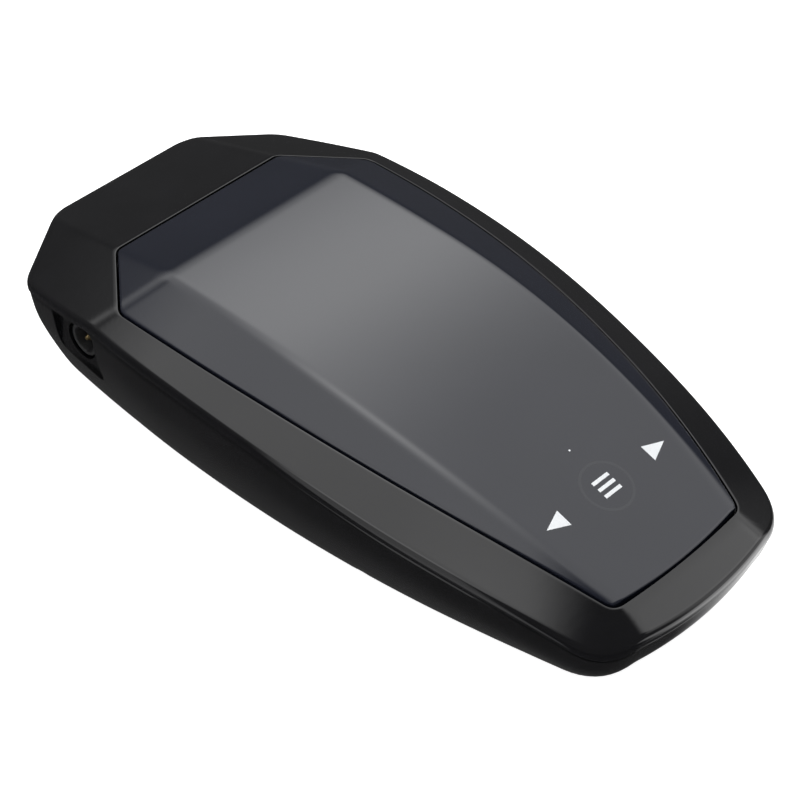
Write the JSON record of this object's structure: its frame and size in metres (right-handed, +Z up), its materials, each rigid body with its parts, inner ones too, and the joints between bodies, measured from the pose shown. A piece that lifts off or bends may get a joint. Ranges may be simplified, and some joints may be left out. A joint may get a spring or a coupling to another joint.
{
  "type": "radar detector",
  "caption": "Gloss black dash-top radar detector with a smoked one-piece top lens, touch keys, a side power inlet, a power switch and a speaker grille.",
  "frame": {"origin": "on the surface it stands on, under the centre of the bounding box", "axes": "+Y from the driver's end to the wide end that faces the road, +X to the right as the driver sees it, +Z up"},
  "size_m": [0.0564, 0.114, 0.0264],
  "materials": {
    "gloss_black_plastic": "high gloss",
    "smoked_lens": "high gloss, smoked",
    "matte_black_plastic": "satin",
    "black_tape": "matte",
    "foot_rubber": "matte",
    "black_screw_steel": "black oxide",
    "spring_steel": "bright",
    "green_circuit_board": "solder mask",
    "cast_aluminium": "as cast",
    "tinned_steel": "satin",
    "patch_ceramic": "matte",
    "chip_resin": "satin",
    "display_glass": "high gloss",
    "ribbon_film": "satin",
    "sensor_lens_plastic": "clear dark red",
    "cone_paper": "matte",
    "magnet_plating": "satin",
    "contact_brass": "bright",
    "capacitor_can": "satin",
    "switch_knob_plastic": "satin"
  },
  "bodies": {
    "housing": {"lower_shell": "gloss_black_plastic", "upper_shell": "gloss_black_plastic", "display_lens": "smoked_lens", "lens_tape": "black_tape", "foot_1": "foot_rubber", "foot_2": "foot_rubber", "foot_3": "foot_rubber", "foot_4": "foot_rubber", "case_screw_1": "black_screw_steel", "case_screw_2": "black_screw_steel", "case_screw_3": "black_screw_steel", "case_screw_4": "black_screw_steel", "main_board": "green_circuit_board", "board_screw_1": "black_screw_steel", "board_screw_2": "black_screw_steel", "board_screw_3": "black_screw_steel", "board_screw_4": "black_screw_steel", "display_panel": "display_glass", "display_holder": "matte_black_plastic", "display_ribbon": "ribbon_film", "processor_chip": "chip_resin", "gps_patch_antenna": "patch_ceramic", "capacitor_1": "capacitor_can", "capacitor_2": "capacitor_can", "speaker_frame": "matte_black_plastic", "speaker_magnet": "magnet_plating", "horn_antenna": "cast_aluminium", "radio_board": "green_circuit_board", "radio_can": "tinned_steel", "laser_sensor_tube": "matte_black_plastic", "laser_sensor_lens": "sensor_lens_plastic", "laser_window": "smoked_lens", "power_board": "green_circuit_board", "power_socket": "matte_black_plastic", "socket_pin": "contact_brass", "power_switch_body": "matte_black_plastic", "touch_spring_left": "spring_steel", "touch_spring_middle": "spring_steel", "touch_spring_right": "spring_steel"},
    "power_switch_slider": {"power_switch_slider": "switch_knob_plastic"},
    "speaker_cone": {"speaker_cone": "cone_paper"}
  },
  "joints": [
    {"name": "power_switch_slide", "type": "slide", "parent": "housing", "child": "power_switch_slider", "axis": [0, 1, 0], "range_m": [0, 0.002]},
    {"name": "speaker_cone_travel", "type": "slide", "parent": "housing", "child": "speaker_cone", "axis": [0, 0, 1], "range_m": [-0.0004, 0.0004], "stiffness_N_per_m": 800}
  ]
}
